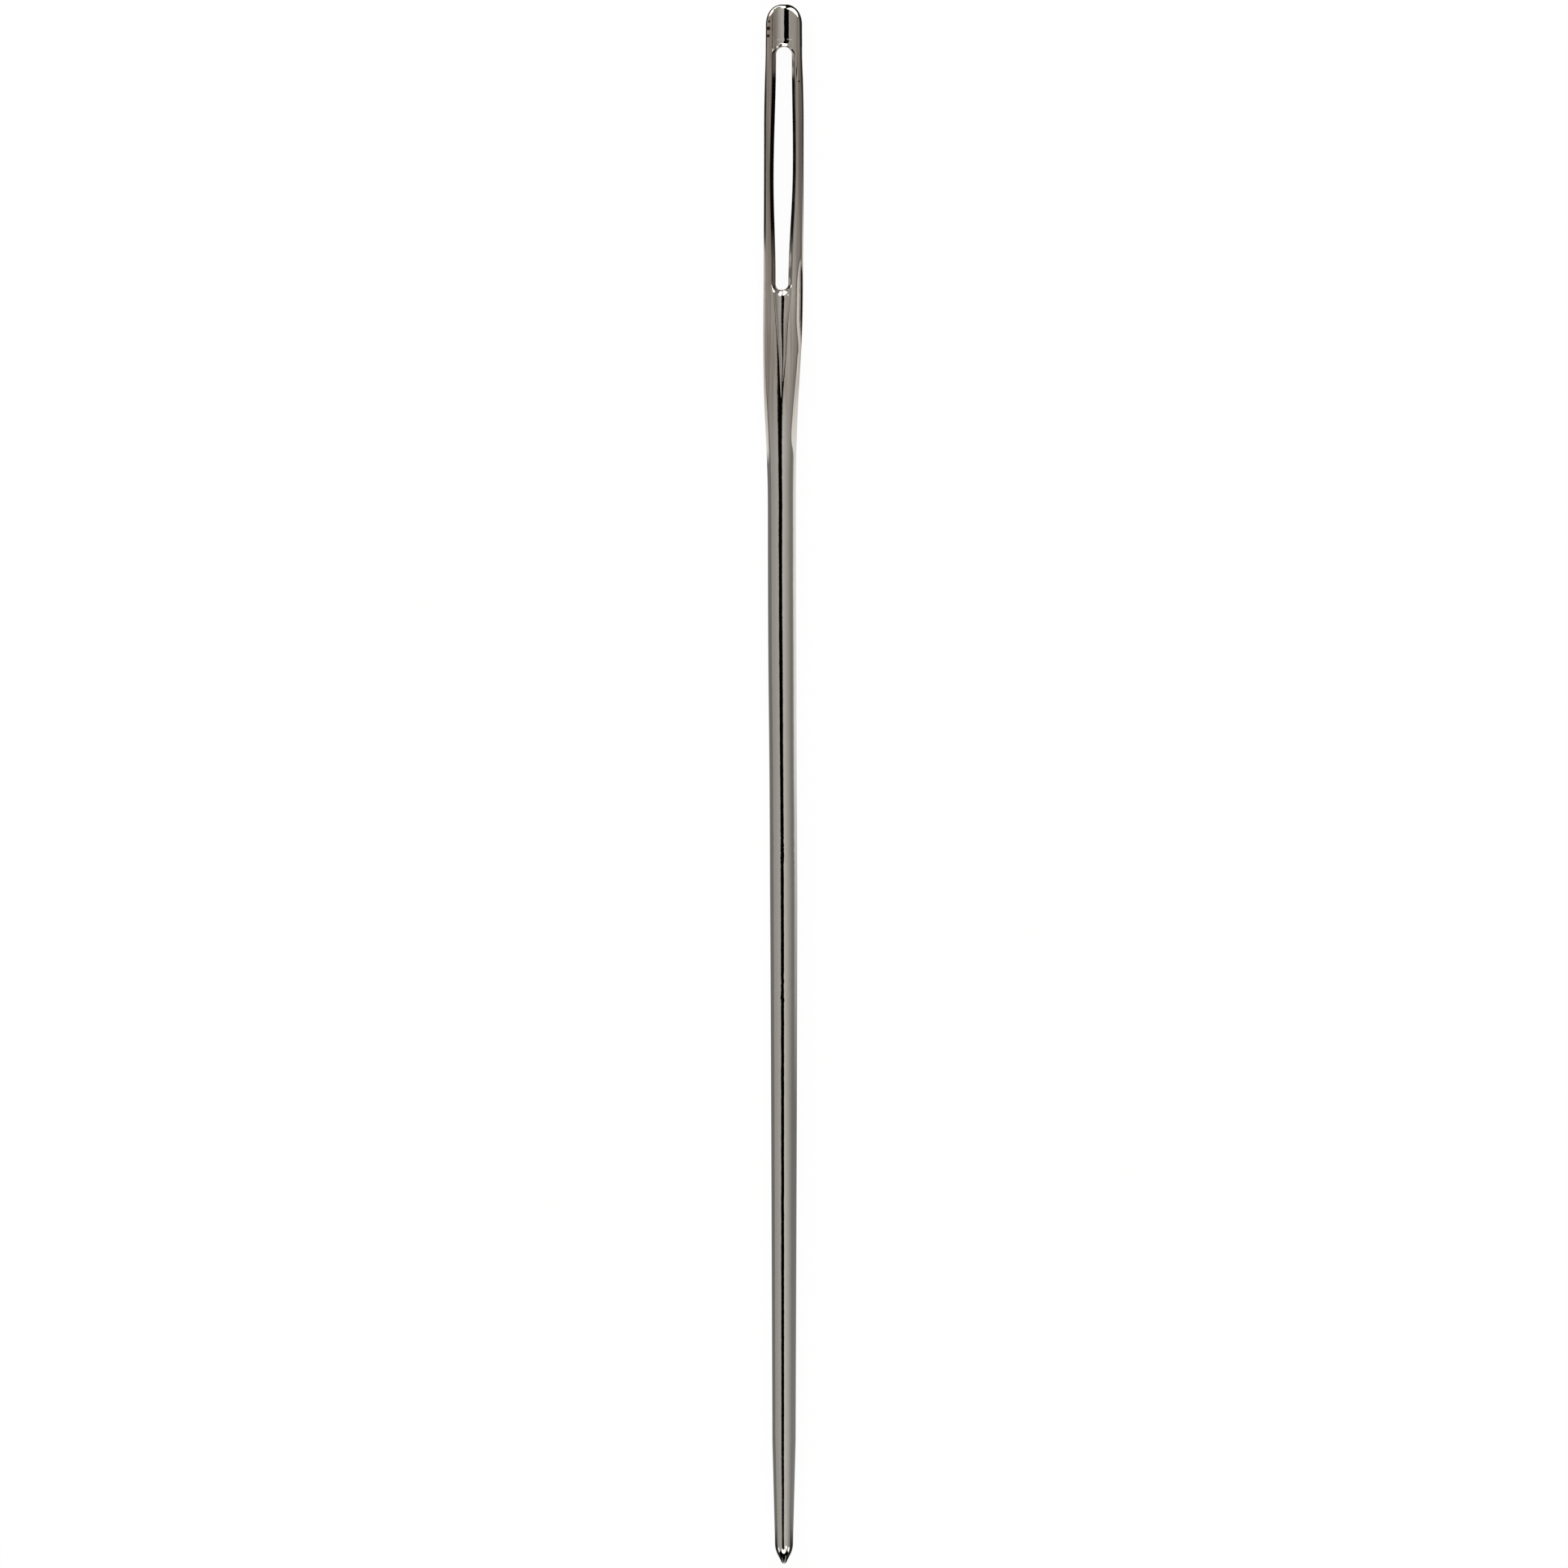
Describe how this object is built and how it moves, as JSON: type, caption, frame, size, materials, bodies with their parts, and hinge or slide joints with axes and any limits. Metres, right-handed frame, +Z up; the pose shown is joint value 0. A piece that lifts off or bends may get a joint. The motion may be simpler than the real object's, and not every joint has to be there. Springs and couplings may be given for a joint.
{
  "type": "yarn needle",
  "caption": "Straight steel yarn needle: plain round shank, short blunt point, and a flattened head with a long slotted eye and shallow gutters.",
  "frame": {"origin": "on the surface the needle lies on, under the middle of its length and width", "axes": "+Y along the needle from the point to the eye end, +X across the width of the eye, +Z up through the faces of the eye"},
  "size_m": [0.0032, 0.125, 0.0022],
  "materials": {
    "plated_steel": "polished nickel plate over steel, warm grey, with faint lengthwise polishing marks"
  },
  "bodies": {
    "root": {"shank": "plated_steel", "neck": "plated_steel", "eye_rail_left": "plated_steel", "eye_rail_right": "plated_steel", "crown": "plated_steel"}
  },
  "joints": []
}
